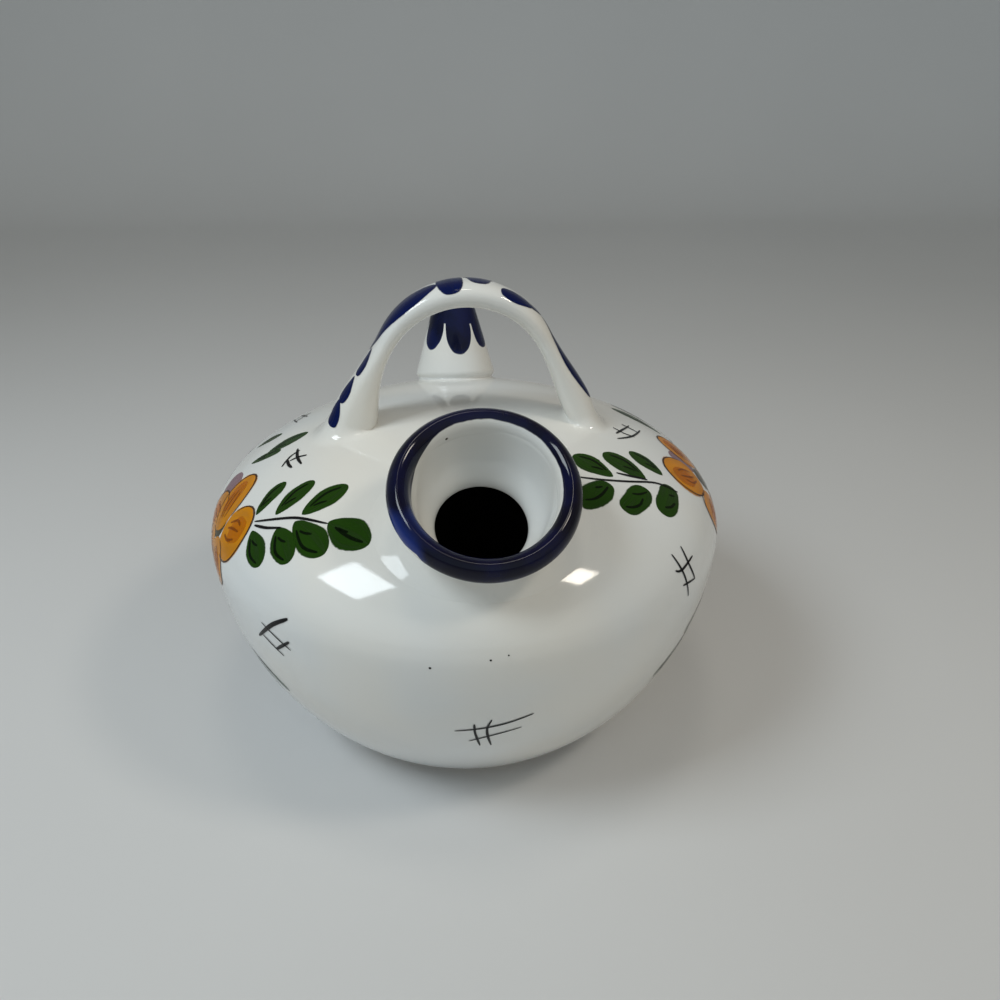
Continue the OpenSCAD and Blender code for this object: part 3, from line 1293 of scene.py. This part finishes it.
@dataclass(frozen=True)
class StrapForm(Surface):
    """The pulled strap that arches over the jug and grows towards its feet.

    Its chart is the length in millimetres along the arch, from the crown and positive to the right, and the
    angle in degrees round the strap, from the middle of its outer side and positive to the back.
    """

    form: JugForm
    half_span: float = 0.0385
    rise: float = 0.0393
    crown: float = 0.028
    leg: float = 0.165
    width: float = 0.0135
    thickness: float = 0.006
    crown_swell: tuple[float, float] = (0.0015, 0.0019)
    swell_reach: float = 30.0
    foot_width: float = 0.017
    outer_growth: tuple[float, float] = (0.0036, 0.0020)
    inner_growth: tuple[float, float] = (0.0060, 0.0005)
    knee: float = 0.0013
    taper: float = 0.027
    fullness: float = 2.4

    @cached_property
    def arcs(self) -> tuple[Vector, Vector, float, float]:
        """Middles of the crown's and of the right leg's arc, and the angles at their join and at the foot."""
        foot = Vector((self.half_span, self.form.dome_z(self.half_span)))
        middle = Vector((0.0, self.form.belt + self.form.rise + self.rise - self.crown))
        gap = self.leg - self.crown
        span = foot - middle
        cosine = (span.length_squared + gap**2 - self.leg**2) / (2 * span.length * gap)
        join = math.atan2(span.y, span.x) - math.acos(cosine) + math.pi
        centre = middle - gap * heading(join)
        return middle, centre, join, math.asin((foot.y - centre.y) / self.leg)

    @property
    def half_length(self) -> float:
        """Length in millimetres from the crown to a foot."""
        _, _, join, low = self.arcs
        return (self.crown * (math.pi / 2 - join) + self.leg * (join - low)) / MM

    def spot(self, first: float, second: float) -> Vector:
        """The place that two chart numbers stand for.

        Args:
            first: The length along the arch in millimetres.
            second: The angle round the strap in degrees.

        Returns:
            The place.
        """
        middle, centre, join, _ = self.arcs
        length = abs(first) * MM
        over = length - self.crown * (math.pi / 2 - join)
        turn = join - over / self.leg if over > 0 else math.pi / 2 - length / self.crown
        pivot, radius = (centre, self.leg) if over > 0 else (middle, self.crown)
        place = pivot + radius * heading(turn)
        side = math.copysign(1.0, first)
        above = max(0.0, place.y - self.form.dome_z(self.half_span))
        growth = max(0.0, 1 - above / self.taper) ** 2
        swell = max(0.0, 1 - (first / self.swell_reach) ** 2)
        round_it = math.radians(second)
        parts = math.cos(round_it), math.sin(round_it)
        deep, wide = (math.copysign(abs(part) ** (2 / self.fullness), part) for part in parts)
        grown = (self.outer_growth if deep > 0 else self.inner_growth)[int(first > 0)] * growth
        grown += self.knee * 4 * growth * (1 - growth)
        deep *= (self.thickness + self.crown_swell[1] * swell) / 2 + grown
        wide *= (between(self.width, self.foot_width, growth) + self.crown_swell[0] * swell) / 2
        return Vector((side * (place.x + math.cos(turn) * deep), wide, place.y + math.sin(turn) * deep))


@dataclass
class Handle:
    """The strap handle, with both feet smoothed into the dome.

    Attributes:
        strap: Its form.
        glaze: Its glaze.
        reach: Widths of the blends at its left and its right foot.
        lift: Length in millimetres above the feet at which the blends start.
        count: Points on a ring.
        steps: Steps along the arch.
        back: Share of the length to an end at which the strap's slope is taken.
        stride: Step in which the dome is looked for below the strap's ends.
        longest: How far it is looked for.
        sink: Depth of a blend's edge in the dome.
    """

    strap: StrapForm
    glaze: Glaze
    reach: tuple[float, float] = (0.0045, 0.0032)
    lift: float = 4.0
    count: int = 64
    steps: int = 80
    back: float = 0.97
    stride: float = 0.0002
    longest: float = 0.03
    sink: float = 0.0015

    def _ring(self, along: float) -> Ring:
        """One ring round the strap."""
        return [self.strap.spot(along, 360 * k / self.count) for k in range(self.count)]

    def _foot(self, along: float) -> list[Ring]:
        """Rings that smooth one end of the strap out onto the dome.

        Args:
            along: The length along the arch at which they start.

        Returns:
            The rings, from the strap's own, round its crease, to one a little inside the dome.
        """
        form = self.strap.form
        wall, higher = self._ring(along), self._ring(along * self.back)
        middle = sum(wall, Vector()) / self.count
        creases, feet, sunk = [], [], []
        for low, high in zip(wall, higher):
            slope = (low - high).normalized()
            step = 0.0
            while form.above(low + slope * step) > 0 and step < self.longest:
                step += self.stride
            crease = form.onto_dome(low + slope * step)
            away = Vector((crease.x - middle.x, crease.y, 0.0)).normalized()
            foot = form.onto_dome(crease + away * self.reach[int(along > 0)])
            creases.append(crease)
            feet.append(foot)
            sunk.append(foot - Vector((0.0, 0.0, self.sink)))
        return [wall, *fillet(wall, creases, feet, steps=12), sunk]

    def model(self) -> bpy.types.Object:
        """Sweeps the strap along its arch and smooths its feet out."""
        end = self.strap.half_length - self.lift
        inner = [self._ring(end * (2 * k / self.steps - 1)) for k in range(1, self.steps)]
        rings = list(reversed(self._foot(-end))) + inner + self._foot(end)
        return Skin("handle_arch", rings[0]).extrude(*rings[1:]).cap().cap_start().finish(smooth=60.0)

    def build(self) -> bpy.types.Object:
        """Models and dresses the handle."""
        nodes = ("handle_strap", "handle_luting_left", "handle_luting_right")
        return settle(self.model(), self.glaze.material(), Slot.GLAZE, nodes)


# Brushwork


@dataclass(frozen=True)
class Stroke:
    """One touch of the brush.

    Attributes:
        path: Chart numbers of the points that it runs through.
        width: Full width in millimetres.
        touch: Its outline.
        pigment: Its colour.
        layer: How many films lie below it.
    """

    path: tuple[Spot, ...]
    width: float
    touch: Touch
    pigment: Pigment
    layer: int = 0


def line(*path: Spot, width: float = 0.8, pigment: Pigment = Pigment.LINE, layer: int = 2) -> Stroke:
    """A thin line of the brush."""
    return Stroke(path, width, Touch.LINE, pigment, layer)


@dataclass
class Painter:
    """Lays strokes on a surface as thin films and joins them into one piece.

    Attributes:
        surface: The face that the strokes' paths are charted on.
        ground: The piece that the films lie on.
        material: The films' material.
        slot: Their slot.
        film: Height of the lowest film above the ground.
        lift: Height between films.
        along: Steps along a stroke.
        across: Steps across it.
        dice: The painter's unsteady hand.
    """

    surface: Surface
    ground: bpy.types.Object
    material: bpy.types.Material
    slot: Slot
    film: float = 0.00006
    lift: float = 0.00005
    along: int = 18
    across: int = 8
    dice: random.Random = field(default_factory=lambda: random.Random(11))

    def lay(self, stroke: Stroke) -> bpy.types.Object:
        """Makes one stroke as a grid that follows the surface.

        Args:
            stroke: The stroke.

        Returns:
            Its film, with its colour and its grain as attributes.
        """
        bpy.ops.object.select_all(action="DESELECT")
        bpy.ops.mesh.primitive_grid_add(x_subdivisions=self.along, y_subdivisions=self.across, size=2.0)
        piece = bpy.context.object
        phase = self.dice.uniform(0, math.tau)
        height = self.film + self.lift * stroke.layer
        for vert in piece.data.vertices:
            share = (vert.co.x + 1) / 2
            if stroke.touch is not Touch.LINE:
                share = 0.5 - 0.5 * math.cos(math.pi * share)
            wobble = 1 + 0.05 * math.sin(phase + 5 * share) + 0.03 * math.sin(2.3 * phase + 11 * share)
            aside = vert.co.y * stroke.width / 2 * MM * stroke.touch.half_width(share) * wobble
            vert.co = self._beside(stroke.path, share, aside)
        change(piece, "SHRINKWRAP", target=self.ground, wrap_mode="ABOVE_SURFACE", offset=height)
        points = len(piece.data.vertices)
        tint = piece.data.attributes.new("tint", "FLOAT_COLOR", "POINT")
        tint.data.foreach_set("color", list(stroke.pigment.value) * points)
        grain = piece.data.attributes.new("grain", "FLOAT", "POINT")
        grain.data.foreach_set("value", [self.dice.uniform(0, 90)] * points)
        return piece

    def _beside(self, path: Sequence[Spot], share: float, aside: float) -> Vector:
        """A place beside a path on the surface.

        Args:
            path: Chart places that the path runs through.
            share: Share of the path's length.
            aside: Distance from the path.

        Returns:
            The place.
        """
        step = 0.01
        here = through(path, share)
        ahead, behind = through(path, min(1.0, share + step)), through(path, max(0.0, share - step))
        scales = [slope.length for slope in self.surface.slopes(*here)]
        way = Vector([(a - b) * scale for a, b, scale in zip(ahead, behind, scales)]).normalized()
        return self.surface.spot(here[0] - way.y * aside / scales[0], here[1] + way.x * aside / scales[1])

    def paint(self, name: str, strokes: Iterable[Stroke]) -> bpy.types.Object:
        """Lays all strokes of one motif and joins them into a piece.

        Args:
            name: The piece's name.
            strokes: The strokes, in any order.

        Returns:
            The dressed piece.
        """
        films = [self.lay(stroke) for stroke in strokes]
        bpy.ops.object.select_all(action="DESELECT")
        for film in films:
            film.select_set(True)
        bpy.context.view_layer.objects.active = films[0]
        bpy.ops.object.join()
        piece = bpy.context.object
        piece.name = piece.data.name = name
        shade(piece, smooth=80.0)
        return settle(piece, self.material, self.slot)


@dataclass(frozen=True)
class Leaf:
    """A leaf: one full touch of green with two dark touches in it.

    Attributes:
        base: Chart place of its stalk end.
        tip: Chart place of its other end.
        width: Full width in millimetres.
        rib: Side that its long vein bends to, as a share of the half width.
        touch: Its outline.
        veins: Chart places of its long vein and of its short one, if they don't run as usual.
    """

    base: Spot
    tip: Spot
    width: float
    rib: float = 0.4
    touch: Touch = Touch.LEAF
    veins: tuple[tuple[Spot, ...], ...] = ()

    def at(self, form: JugForm, along: float, aside: float) -> Spot:
        """A place in the leaf.

        Args:
            form: The jug's outline.
            along: Share of the leaf's length.
            aside: Share of its half width.

        Returns:
            The chart place.
        """
        degree = form.degree(between(self.base[1], self.tip[1], 0.5))
        way = Vector(((self.tip[0] - self.base[0]) * degree, self.tip[1] - self.base[1]))
        side = Vector((-way.y, way.x)).normalized() * (aside * self.width / 2)
        return (
            between(self.base[0], self.tip[0], along) + side.x / degree,
            between(self.base[1], self.tip[1], along) + side.y,
        )

    def strokes(self, form: JugForm) -> list[Stroke]:
        """The leaf's touches.

        Args:
            form: The jug's outline.

        Returns:
            The green touch and the two veins.
        """
        usual = ((0.2, 0.5), (0.58, 1.2), (0.88, 0.45)), ((0.26, 0.2), (0.38, -0.1), (0.5, -0.7))
        rib, tick = self.veins or (
            tuple(self.at(form, along, self.rib * bend) for along, bend in vein) for vein in usual
        )
        middle = self.at(form, 0.5, 0.06)
        return [
            Stroke((self.base, middle, self.tip), self.width, self.touch, Pigment.LEAF),
            line(*rib, width=0.07 * self.width + 0.35, pigment=Pigment.VEIN, layer=1),
            line(*tick, width=0.06 * self.width + 0.3, pigment=Pigment.VEIN, layer=1),
        ]


@dataclass(frozen=True)
class Petal:
    """A petal's place in its flower.

    Attributes:
        angle: Direction from the flower's heart in degrees, from the right and turning up.
        start: Distance of its inner end from the heart, in millimetres.
        end: Distance of its outer end.
        width: Full width.
        pigment: Its colour.
    """

    angle: float
    start: float
    end: float
    width: float
    pigment: Pigment = Pigment.PETAL


@dataclass(frozen=True)
class Flower:
    """A flower: petals with outlines and flames, round a dark heart.

    Attributes:
        heart: Chart place of its heart.
        petals: Its petals, in the order that they are painted in.
        size: Width of the heart in millimetres.
        heart_layer: How many films lie below the heart.
    """

    heart: Spot
    petals: tuple[Petal, ...]
    size: float = 8.5
    heart_layer: int = 3

    def at(self, form: JugForm, petal: Petal, along: float, aside: float) -> Spot:
        """A place in a petal.

        Args:
            form: The jug's outline.
            petal: The petal.
            along: Share of its length.
            aside: Share of its half width.

        Returns:
            The chart place.
        """
        turn = math.radians(petal.angle)
        ahead = between(petal.start, petal.end, along)
        side = aside * petal.width / 2
        right = ahead * math.cos(turn) - side * math.sin(turn)
        up = ahead * math.sin(turn) + side * math.cos(turn)
        return self.heart[0] + right / form.degree(self.heart[1] + up / 2), self.heart[1] + up

    def strokes(self, form: JugForm) -> list[Stroke]:
        """The flower's touches.

        Args:
            form: The jug's outline.

        Returns:
            The touches of its petals, then its heart.
        """
        touches = []
        for petal in self.petals:
            plain = petal.pigment is Pigment.MAUVE
            path = tuple(self.at(form, petal, along, 0.0) for along in (0.0, 0.5, 1.0))
            touches.append(Stroke(path, petal.width, Touch.OVAL, petal.pigment, 0 if plain else 1))
            if plain:
                continue
            rim = [
                self.at(form, petal, 0.5 - 0.5 * math.cos(turn), math.sin(turn))
                for turn in (0.7, 1.2, 1.8, 2.4, 3.0, 3.6, 4.2, 4.8, 5.3)
            ]
            touches.append(line(*rim, width=0.7, pigment=Pigment.OUTLINE, layer=2))
            glow = tuple(self.at(form, petal, along, 0.1) for along in (0.3, 0.55, 0.85))
            touches.append(Stroke(glow, 0.5 * petal.width, Touch.OVAL, Pigment.EMBER, 2))
            for aside in (-0.3, 0.1, 0.4):
                flame = [(0.2, aside * 0.6), (0.42, aside), (0.7 - 0.2 * abs(aside), aside * 0.7)]
                places = [self.at(form, petal, along, shift) for along, shift in flame]
                touches.append(line(*places, width=0.05 * petal.width, pigment=Pigment.FLAME, layer=3))
        reach = self.size / 2 / form.degree(self.heart[1])
        heart = ((self.heart[0] - reach, self.heart[1]), (self.heart[0] + reach, self.heart[1]))
        touches.append(Stroke(heart, self.size, Touch.OVAL, Pigment.HEART, self.heart_layer))
        return touches


def left_side(form: JugForm) -> list[Stroke]:
    """The left flower with its three sprigs.

    Args:
        form: The jug's outline.

    Returns:
        The strokes of the leaves, the stalks and the flower.
    """
    stalk = 0.95
    leaves = (
        Leaf((-62.5, 24), (-66.5, 36.6), 5.6), Leaf((-57, 28), (-58.5, 43), 7.0),
        Leaf((-50, 32.5), (-46.5, 47.5), 8.2), Leaf((-59.3, 20.2), (-50.4, 14.2), 7.4, -0.45),
        Leaf((-53, 25.6), (-43.7, 19.1), 8.8, -0.45), Leaf((-50, 29.8), (-36.6, 25.2), 9.6, -0.45),
        Leaf((-41.2, 34.2), (-27.6, 31.4), 10.6, -0.1), Leaf((-89, 26), (-87.6, 37.4), 5.0),
        Leaf((-88.5, 31), (-95, 46), 6.4), Leaf((-101, 23.6), (-102.4, 33.8), 5.0),
        Leaf((-99, 8.5), (-104, -1), 6.5), Leaf((-108, 13), (-116, 4), 7.5),
        Leaf((-114, 18.5), (-125, 19), 8.0), Leaf((-59, -22.5), (-46.8, -30.5), 5.0),
        Leaf((-86, -9), (-74, -15), 7.0), Leaf((-70, -23), (-62, -35), 7.0),
        Leaf((-77, -16), (-77, -30), 7.0), Leaf((-63, -29), (-54, -40), 8.0),
    )
    strokes = [touch for one in leaves for touch in one.strokes(form)]
    strokes += [
        line((-61, 22.5), (-51, 30.6), (-41, 33.6), width=stalk),
        line((-60, 21.8), (-56, 23.6), (-52, 26.2), width=1.0),
        line((-93, 8), (-103, 12.5), (-114, 18.5), width=stalk),
        line((-76, -5), (-70, -19), (-63, -29), width=stalk),
    ]
    petals = (
        Petal(158, 3, 23, 11, Pigment.MAUVE), Petal(216, 4, 22, 11, Pigment.MAUVE),
        Petal(17, 4.6, 18.8, 18.6), Petal(121, -2, 19.0, 13.4), Petal(-52, 4, 19, 11.5),
        Petal(186, 3.5, 18, 14), Petal(247, 3.5, 18, 13),
    )
    return strokes + Flower((-73, 12), petals, size=8.4, heart_layer=0).strokes(form)


def right_side(form: JugForm) -> list[Stroke]:
    """The right flower with its three sprigs.

    Args:
        form: The jug's outline.

    Returns:
        The strokes of the leaves, the stalks and the flower.
    """
    stalk = 0.95
    leaves = (
        Leaf((49, 44), (48.5, 58), 9.2, -0.4), Leaf((57.5, 36), (60, 51.6), 8.8, -0.4),
        Leaf((64.6, 32), (69, 44.4), 7.0, -0.4),
        Leaf((44.8, 43.3), (28.7, 41.6), 9.2, touch=Touch.OVAL, veins=(
            ((32, 42), (35, 41), (38.7, 41.2), (43, 42.3)), ((39, 44.2), (41.5, 43.3)),
        )),
        Leaf((53.4, 34.9), (39.8, 33.3), 8.8, touch=Touch.OVAL, veins=(
            ((41.3, 34.1), (43.3, 32.6), (46, 32.1), (48.7, 32.9)),
            ((47.4, 36.1), (49.3, 34.5), (52.3, 33.4)),
        )),
        Leaf((61.7, 28.9), (49.3, 25.6), 8.5, touch=Touch.OVAL, veins=(
            ((52, 26.4), (53.9, 25.1), (56.3, 24.8)), ((57.6, 27.6), (58.8, 26)),
        )),
        Leaf((97.5, 25.2), (110.5, 39.6), 7.0), Leaf((105, 20), (118, 33), 6.5),
        Leaf((102, 16), (111, 8), 7.5), Leaf((110, 18), (121, 12), 8.0), Leaf((116, 22), (129, 20), 9.0),
        Leaf((63, -11), (49, -18.5), 6.0), Leaf((56, -20), (40.5, -30), 6.0), Leaf((68, -20), (62, -32), 7.0),
        Leaf((75, -13), (75, -27), 7.0), Leaf((60, -28), (52, -40), 8.0),
    )
    strokes = [touch for one in leaves for touch in one.strokes(form)]
    strokes += [
        line((61.5, 25.6), (58.6, 33), (50, 40.6), (36, 51.6), width=stalk),
        line((57.6, 35.6), (51.7, 44.2), width=1.0),
        line((94, 22), (105, 18), (117, 22), width=stalk),
        line((75, -3), (68, -17), (60, -28), width=stalk),
    ]
    petals = (
        Petal(84, 4, 15, 8, Pigment.MAUVE), Petal(-12, 4, 22, 11, Pigment.MAUVE),
        Petal(136, 5, 22, 18), Petal(42, 5, 22, 14), Petal(204, 7, 22, 15), Petal(274, 4, 19, 13),
        Petal(330, 4, 19, 12),
    )
    return strokes + Flower((80.5, 14.5), petals).strokes(form)


def marks() -> list[Stroke]:
    """The crossed pen strokes between the sprigs, and three stray specks."""
    bold, thin = 1.1, 0.65
    strokes = [
        line((-7.3, -25), (-2.4, -24), (2.7, -22.2), (7.8, -19.3)),
        line((-4.6, -31), (-0.3, -28.4), (5.8, -25.4), width=thin),
        line((-3.5, -21.6), (-3.3, -26.5), (-2.3, -34.4)),
        line((-0.2, -19.8), (-1, -24), (-0.8, -28.7), (0, -34.6)),
        line((-48.6, -7), (-43.2, 1), (-39, 5.4), width=1.35), line((-46.5, -0.5), (-39, -5), width=thin),
        line((-47, -5.2), (-41.5, -9), width=thin), line((-43.4, -7.8), (-39, -2), width=bold),
        line((42.5, 15.5), (43.4, 8.5), (44, 1)), line((46.5, 15.5), (46.2, 10), (47, 4.5)),
        line((41.2, 11), (43.2, 10), (48.6, 10.8)), line((42.2, 5.8), (47, 4.6), width=0.7),
        line((-83, 43.5), (-77, 43), (-71.2, 43.3), width=bold),
        line((-78.5, 39.8), (-75, 39.7), (-72, 40.2), width=bold),
        line((-75.6, 37.5), (-79.6, 41), (-81.2, 44.2)),
        line((-76.8, 40.4), (-76.7, 43.4), (-75.5, 45.9), width=0.9),
        line((85.7, 49.5), (82.8, 46), (82.5, 42.2)), line((91.6, 45), (88, 40)),
        line((80.4, 49), (85, 46.6), (92.2, 42), width=0.9),
        line((75.8, 48.8), (82, 43.4), (90.8, 38.1), width=0.9),
        line((-111.5, 34.6), (-118.5, 36.2), width=thin), line((-113.5, 31.2), (-119.5, 33), width=thin),
        line((-114, 38), (-119, 31)), line((-110, 36), (-116, 30), width=thin),
        line((176, -22), (188, -18)), line((177, -29), (187, -25), width=thin), line((179, -17), (180, -33)),
        line((184, -16), (185, -31)), line((140, 14), (144, 1)), line((144, 15), (148, 3)),
        line((139, 7), (148, 11)), line((141, 3), (149, 6), width=thin),
    ]
    for azimuth, climb, size in ((-11, 0.7, 0.7), (-0.6, 3, 0.6), (2.5, 4, 0.45)):
        ends = ((azimuth - size / 3, climb), (azimuth + size / 3, climb))
        strokes.append(Stroke(ends, size, Touch.OVAL, Pigment.LINE))
    return strokes


def dabs() -> list[Stroke]:
    """The cobalt dabs along the strap, from its left foot to its right."""
    touches = (
        (((-60.6, -34), (-57, -34), (-52, -22)), 6.4, Touch.DROP),
        (((-52.6, -30), (-48.5, -30), (-43.5, -20)), 5.0, Touch.DROP),
        (((-42.8, -26), (-38.5, -26), (-33.4, -14)), 4.8, Touch.DROP),
        (((-35, 6), (-25, -15), (-15, -24), (-7.6, -6)), 9.2, Touch.LEAF),
        (((-4.4, 76), (-4.2, 0), (-3.8, -70)), 8.2, Touch.OVAL),
        (((3.9, 78), (3.9, 40), (3.8, -24)), 9.4, Touch.OVAL),
        (((9.6, -32), (14, -34), (19.6, -20)), 6.2, Touch.OVAL),
        (((17, -24), (20, -18), (24, 2)), 2.6, Touch.LINE),
        (((24, -4), (38, -24), (54, -24)), 7.4, Touch.LEAF),
        (((34, 76), (42, 62), (50, 64)), 5.0, Touch.LEAF),
        (((-40, 74), (-48, 60), (-56, 62)), 5.0, Touch.LEAF),
    )
    return [Stroke(path, width, touch, Pigment.COBALT) for path, width, touch in touches]


@dataclass
class Studio:
    """A plain pale sheet, three soft lamps, the room's own light and the camera.

    Attributes:
        sheet: The sheet's finish.
        focal: The lens's focal length in millimetres.
        sensor: Width of the camera's frame in millimetres.
        eye: The camera's place.
        yaw: Its turn to the right in degrees.
        pitch: Its look down in degrees.
        roll: Its roll in degrees.
        distance: Distance of the lamps.
        aim: Height that they look at.
        sheet_size: Width and length of the sheet.
        sheet_ahead: How far its middle lies in front of the jug.
        sheet_height: Height that it is swept up to behind.
        sheet_bend: Size of the bend there.
        level: Light of the room.
        front: Light of the room in front.
    """

    sheet: Paper
    focal: float = 27.0
    sensor: float = 36.0
    eye: tuple[float, float, float] = (-0.01689, -0.22916, 0.20063)
    yaw: float = 7.06
    pitch: float = 29.23
    roll: float = -0.64
    distance: float = 0.65
    aim: float = 0.08
    sheet_size: float = 4.0
    sheet_ahead: float = 0.6
    sheet_height: float = 0.75
    sheet_bend: float = 0.4
    level: float = 0.19
    front: float = 0.52

    def camera(self) -> None:
        """Puts the camera where the photograph was taken from."""
        data = bpy.data.cameras.new("camera")
        data.lens, data.sensor_width = self.focal, self.sensor
        data.clip_start, data.clip_end = 0.01, 20.0
        camera = bpy.data.objects.new("camera", data)
        bpy.context.scene.collection.objects.link(camera)
        yaw, pitch, roll = (math.radians(angle) for angle in (self.yaw, self.pitch, self.roll))
        ahead = Vector((math.sin(yaw) * math.cos(pitch), math.cos(yaw) * math.cos(pitch), -math.sin(pitch)))
        right = Vector((math.cos(yaw), -math.sin(yaw), 0.0))
        down = ahead.cross(right)
        across = right * math.cos(roll) + down * math.sin(roll)
        lower = down * math.cos(roll) - right * math.sin(roll)
        turn = Matrix((across, -lower, -ahead)).transposed().to_4x4()
        camera.matrix_world = Matrix.Translation(self.eye) @ turn
        bpy.context.scene.camera = camera

    def lamp(self, name: str, towards: Vector, size: float, power: float, colour: Colour) -> None:
        """Hangs one soft lamp that looks at the jug.

        Args:
            name: The lamp's name.
            towards: Direction from the jug to the lamp.
            size: Its width and height.
            power: Its power in watts.
            colour: Its colour.
        """
        data = bpy.data.lights.new(name, "AREA")
        data.size, data.energy, data.color = size, power, colour
        lamp = bpy.data.objects.new(name, data)
        bpy.context.scene.collection.objects.link(lamp)
        aim = Vector((0.0, 0.0, self.aim))
        lamp.location = aim + towards.normalized() * self.distance
        lamp.rotation_euler = (-towards).to_track_quat("-Z", "Y").to_euler()

    def floor(self) -> None:
        """Lays the sheet and sweeps it up behind the jug."""
        bpy.ops.object.select_all(action="DESELECT")
        bpy.ops.mesh.primitive_plane_add(size=self.sheet_size, location=(0.0, -self.sheet_ahead, 0.0))
        sheet = bpy.context.object
        sheet.name = "studio_sheet"
        bpy.ops.object.mode_set(mode="EDIT")
        bpy.ops.mesh.select_all(action="DESELECT")
        shape = bmesh.from_edit_mesh(sheet.data)
        for edge in shape.edges:
            edge.select_set(all(vert.co.y > 0 for vert in edge.verts))
        bmesh.update_edit_mesh(sheet.data)
        bpy.ops.mesh.extrude_region_move(TRANSFORM_OT_translate={"value": (0.0, 0.0, self.sheet_height)})
        bpy.ops.object.mode_set(mode="OBJECT")
        bpy.ops.object.transform_apply(location=True, rotation=True, scale=True)
        change(
            sheet, "BEVEL", width=self.sheet_bend, segments=16, limit_method="ANGLE", angle_limit=SHARP
        )
        shade(sheet, smooth=60.0)
        sheet.data.materials.append(self.sheet.material())

    def world(self) -> None:
        """Fills the shadows from a room that is brighter in front, and cooler there and on the left."""
        world = bpy.data.worlds.new("studio")
        world.use_nodes = True
        graph = Graph(world.node_tree)
        sky = graph.node("ShaderNodeTexCoord", {}, {}).outputs["Generated"]
        across, along, up = graph.parts(sky)
        side = across * 0.6 + along * 0.5 + up * 0.4
        tint = graph.mix((0.80, 0.93, 1.0), (1.0, 0.95, 0.84), side.ramp(-0.6, 0.6))
        strength = self.level + (self.front - self.level) * (along * -1).largest(0.0)
        light = graph.node("ShaderNodeBackground", {}, {"Color": tint, "Strength": strength})
        graph.node("ShaderNodeOutputWorld", {}, {"Surface": light.outputs[0]})
        bpy.context.scene.world = world

    def build(self) -> None:
        """Sets up the whole studio."""
        lamps = (
            ("left_window", (-0.60, -0.25, 0.76), 0.225, 1.8, (0.86, 0.95, 1.0)),
            ("right_window", (0.557, -0.32, 0.775), 0.10, 0.66, (1.0, 0.92, 0.80)),
            ("ceiling", (0.02, -0.05, 1.0), 0.12, 0.3, (1.0, 0.95, 0.85)),
        )
        self.camera()
        self.floor()
        for name, towards, size, power, colour in lamps:
            self.lamp(name, Vector(towards), size, power, colour)
        self.world()
        bpy.context.scene.view_settings.view_transform = "Standard"


def main() -> None:
    """Builds the jug piece by piece, then the studio."""
    logging.basicConfig(level=logging.INFO, format="%(name)s: %(message)s")
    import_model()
    form = JugForm()
    glaze = Glaze()
    mouth = Stand(form, out=0.055, tilt=32.0, heading=-1.0)
    spout = Stand(form, out=0.0555, tilt=10.0, heading=1.0)
    strap = StrapForm(form)
    body = Body(form, mouth, spout, ShellGlaze(form)).build()
    Foot(BareClay()).build()
    Mouth(mouth, DippedRim(mouth)).build()
    Spout(spout, DippedTip(spout)).build()
    arch = Handle(strap, glaze).build()
    brush = Brush().material()
    painter = Painter(form, body, brush, Slot.GLAZE)
    painter.paint("left_flower_sprigs", left_side(form))
    painter.paint("right_flower_sprigs", right_side(form))
    painter.paint("crossed_marks", marks())
    dabber = Painter(strap, arch, brush, Slot.COBALT, film=0.00012, along=32, across=18)
    dabber.paint("handle_dabs", dabs())
    Studio(Paper()).build()


if __name__ == "__main__":
    main()
